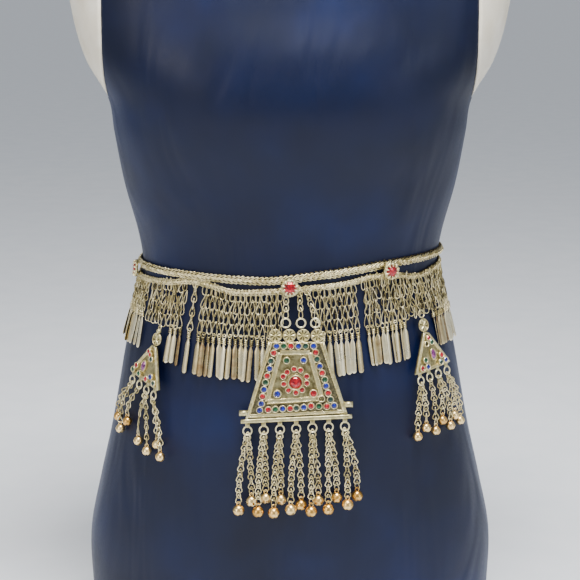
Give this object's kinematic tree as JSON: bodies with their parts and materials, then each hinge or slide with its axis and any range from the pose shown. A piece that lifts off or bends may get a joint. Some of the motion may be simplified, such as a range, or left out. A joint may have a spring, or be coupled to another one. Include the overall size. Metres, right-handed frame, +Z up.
{
  "type": "belly dance hip belt on a limbless dress form",
  "caption": "Metal hip belt of woven wire braids, link curtains with leaf fringe, and hanging jewelled pendants with bell tassels, worn on a limbless torso dress form.",
  "frame": {"origin": "middle of the flat underside of the dress form", "axes": "+Z up through the neck, the belt's front and centre pendant face -Y, +X to the right as seen from the front"},
  "size_m": [0.374, 0.2464, 0.76],
  "materials": {
    "satin_cover": "dark blue satin cover of the dress form, soft sheen",
    "cap_plastic": "plain cream plastic",
    "white_metal": "tarnished nickel silver, hand worked, dark in the recesses",
    "leaf_metal": "hammered nickel silver blades, worn bright",
    "bell_metal": "aged brass bells on nickel silver chain",
    "red_glass": "faceted red glass in raised metal settings"
  },
  "bodies": {
    "form_and_belt": {"form_torso": "satin_cover", "arm_cap_left": "cap_plastic", "arm_cap_right": "cap_plastic", "upper_braid_left": "white_metal", "upper_braid_front": "white_metal", "upper_braid_right": "white_metal", "lower_braid_left": "white_metal", "lower_braid_front": "white_metal", "lower_braid_right": "white_metal", "stud_left": "white_metal", "stud_centre": "white_metal", "stud_right": "white_metal", "net_side_left": "white_metal", "net_hip_left": "white_metal", "net_front_left": "white_metal", "net_front_right": "white_metal", "net_hip_right": "white_metal", "net_side_right": "white_metal", "leaves_side_left": "leaf_metal", "leaves_hip_left": "leaf_metal", "leaves_front_left": "leaf_metal", "leaves_front_right": "leaf_metal", "leaves_hip_right": "leaf_metal", "leaves_side_right": "leaf_metal", "strand_left": "leaf_metal", "strand_centre_1": "white_metal", "strand_centre_2": "white_metal", "strand_centre_3": "white_metal", "back_ring": "white_metal", "back_hook": "white_metal"},
    "centre_pendant": {"centre_plate": "white_metal", "centre_boss": "red_glass", "centre_bar": "white_metal", "centre_rosette_1": "white_metal", "centre_rosette_2": "white_metal", "centre_rosette_3": "white_metal", "centre_rosette_4": "white_metal", "centre_ring_1": "white_metal", "centre_ring_2": "white_metal", "centre_ring_3": "white_metal", "centre_tassel_1": "bell_metal", "centre_tassel_2": "bell_metal", "centre_tassel_3": "bell_metal", "centre_tassel_4": "bell_metal", "centre_tassel_5": "bell_metal", "centre_tassel_6": "bell_metal", "centre_tassel_7": "bell_metal"},
    "left_pendant": {"left_plate": "white_metal", "left_rosette": "white_metal", "left_tassel_1": "bell_metal", "left_tassel_2": "bell_metal", "left_tassel_3": "bell_metal", "left_tassel_4": "bell_metal"},
    "right_pendant": {"right_plate": "white_metal", "right_rosette": "white_metal", "right_ring": "white_metal", "right_tassel_1": "bell_metal", "right_tassel_2": "bell_metal", "right_tassel_3": "bell_metal", "right_tassel_4": "bell_metal"}
  },
  "joints": [
    {"name": "centre_swing", "type": "hinge", "parent": "form_and_belt", "child": "centre_pendant", "pos_m": [0.005, -0.10286, 0.2985], "axis": [-1, 0, 0], "range_deg": [0, 60]},
    {"name": "left_swing", "type": "hinge", "parent": "form_and_belt", "child": "left_pendant", "pos_m": [-0.10689, -0.06866, 0.28439], "axis": [-0.7516, 0.6596, 0], "range_deg": [0, 50]},
    {"name": "right_swing", "type": "hinge", "parent": "form_and_belt", "child": "right_pendant", "pos_m": [0.10804, -0.06343, 0.29649], "axis": [-0.7334, -0.6798, 0], "range_deg": [0, 50]}
  ]
}
